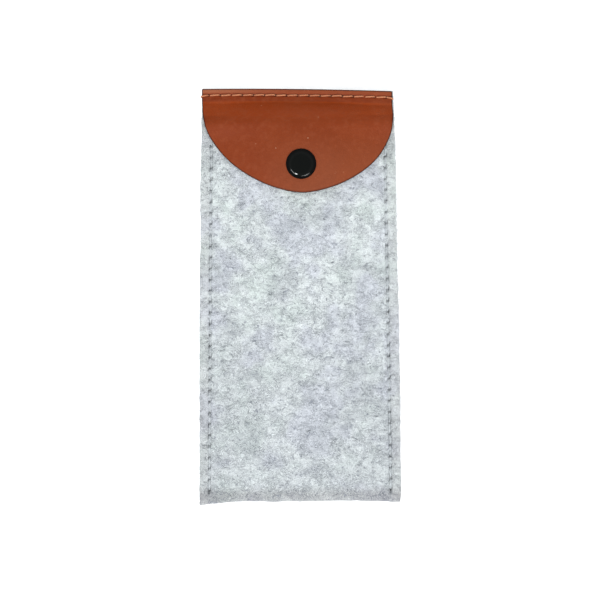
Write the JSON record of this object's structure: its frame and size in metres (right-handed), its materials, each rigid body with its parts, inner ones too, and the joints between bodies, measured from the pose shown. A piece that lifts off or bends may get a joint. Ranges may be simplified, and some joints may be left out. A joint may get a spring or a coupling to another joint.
{
  "type": "eyeglasses pouch",
  "caption": "Flat felt pouch for eyeglasses with a rounded leather flap closed by a snap fastener.",
  "frame": {"origin": "centre of the pouch's outline, on the plane the closed pouch lies on", "axes": "+Y along the pouch towards its mouth, +Z out of the front panel, +X across the pouch"},
  "size_m": [0.085, 0.175, 0.0156],
  "materials": {
    "grey_felt": "pale grey melange wool felt",
    "tan_leather": "smooth finely grained brown leather",
    "grey_thread": "matte grey sewing thread",
    "tan_thread": "tan sewing thread",
    "black_enamel": "glossy black enamel",
    "black_nickel": "dark nickel plating"
  },
  "bodies": {
    "pouch": {"felt_body": "grey_felt", "flap_sewn_edge": "tan_leather", "left_seam_needle_thread": "grey_thread", "left_seam_bobbin_thread": "grey_thread", "right_seam_needle_thread": "grey_thread", "right_seam_bobbin_thread": "grey_thread", "flap_row_needle_thread": "tan_thread", "flap_row_bobbin_thread": "tan_thread", "snap_stud": "black_nickel", "snap_stud_post": "black_nickel"},
    "flap": {"flap_panel": "tan_leather", "snap_cap": "black_enamel", "snap_cap_post": "black_nickel", "snap_socket": "black_nickel", "snap_ring_spring": "black_nickel"}
  },
  "joints": [
    {"name": "flap_hinge", "type": "hinge", "parent": "pouch", "child": "flap", "pos_m": [0, 0.0824, 0.00415], "axis": [-1, 0, 0], "range_deg": [0, 130], "deforming": ["snap_ring_spring"]}
  ]
}
